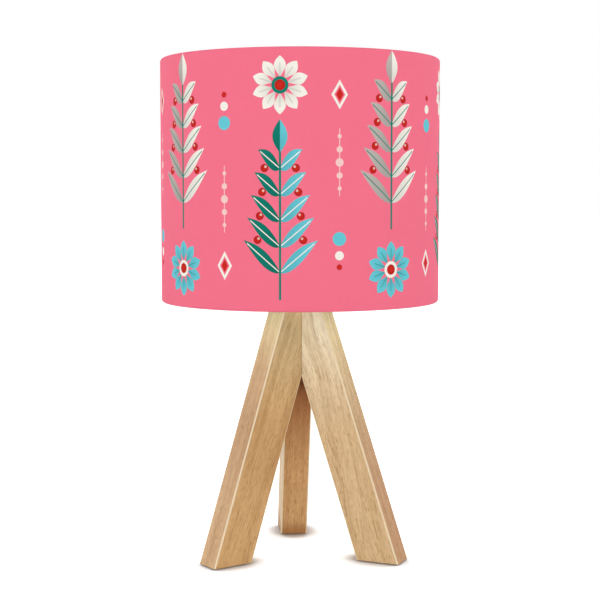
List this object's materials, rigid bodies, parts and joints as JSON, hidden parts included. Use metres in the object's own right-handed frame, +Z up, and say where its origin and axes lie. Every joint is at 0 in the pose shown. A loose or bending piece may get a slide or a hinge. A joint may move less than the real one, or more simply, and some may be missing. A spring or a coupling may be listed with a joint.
{
  "type": "tripod table lamp",
  "caption": "Table lamp with a printed pink drum shade on a mitred timber tripod; the shade turns, its screw ring comes off and the bulb lifts out.",
  "frame": {"origin": "on the table, midway between the shade's sides, under the lamp's centre line", "axes": "+X to the lamp's right as seen from the front, +Y to the back, +Z up along the stem and the shade's axis"},
  "size_m": [0.2, 0.2, 0.358],
  "materials": {
    "timber": "smooth, lightly oiled",
    "felt": "pressed felt",
    "steel": "zinc plated",
    "brass": "plain strip",
    "black_plastic": "moulded, satin",
    "insulator": "unglazed",
    "opal_glass": "opal white",
    "nickel": "nickel plated",
    "white_wire": "powder coated",
    "white_lining": "matt lining film",
    "pink_fabric": "printed plain-weave fabric"
  },
  "bodies": {
    "base": {"leg_left": "timber", "leg_right": "timber", "leg_back": "timber", "foot_pads": "felt", "top_plate": "steel", "plate_screws": "steel", "stem": "steel", "lower_washer": "steel", "lower_nut": "steel", "upper_nut": "steel", "cord_bush": "black_plastic", "holder_cap": "black_plastic", "lock_screw": "steel", "contact_carrier": "insulator", "centre_contact": "brass", "side_contact": "brass", "terminal_screws": "brass", "holder_skirt": "black_plastic"},
    "shade": {"fitter_ring": "white_wire", "fitter_arms": "white_wire", "bottom_ring": "white_wire", "top_ring": "white_wire", "shade_liner": "white_lining", "shade_fabric": "pink_fabric"},
    "retaining_ring": {"shade_ring": "black_plastic"},
    "bulb": {"bulb_glass": "opal_glass", "bulb_cap": "nickel", "bulb_insulator": "black_plastic", "bulb_contact": "nickel"}
  },
  "joints": [
    {"name": "shade_turn", "type": "hinge", "parent": "base", "child": "shade", "pos_m": [0, 0, 0.21635], "axis": [0, 0, 1], "continuous": true},
    {"name": "ring_unscrew", "type": "slide", "parent": "base", "child": "retaining_ring", "axis": [0, 0, 1], "range_m": [0, 0.008]},
    {"name": "bulb_lift", "type": "slide", "parent": "base", "child": "bulb", "axis": [0, 0, 1], "range_m": [0, 0.165]}
  ]
}
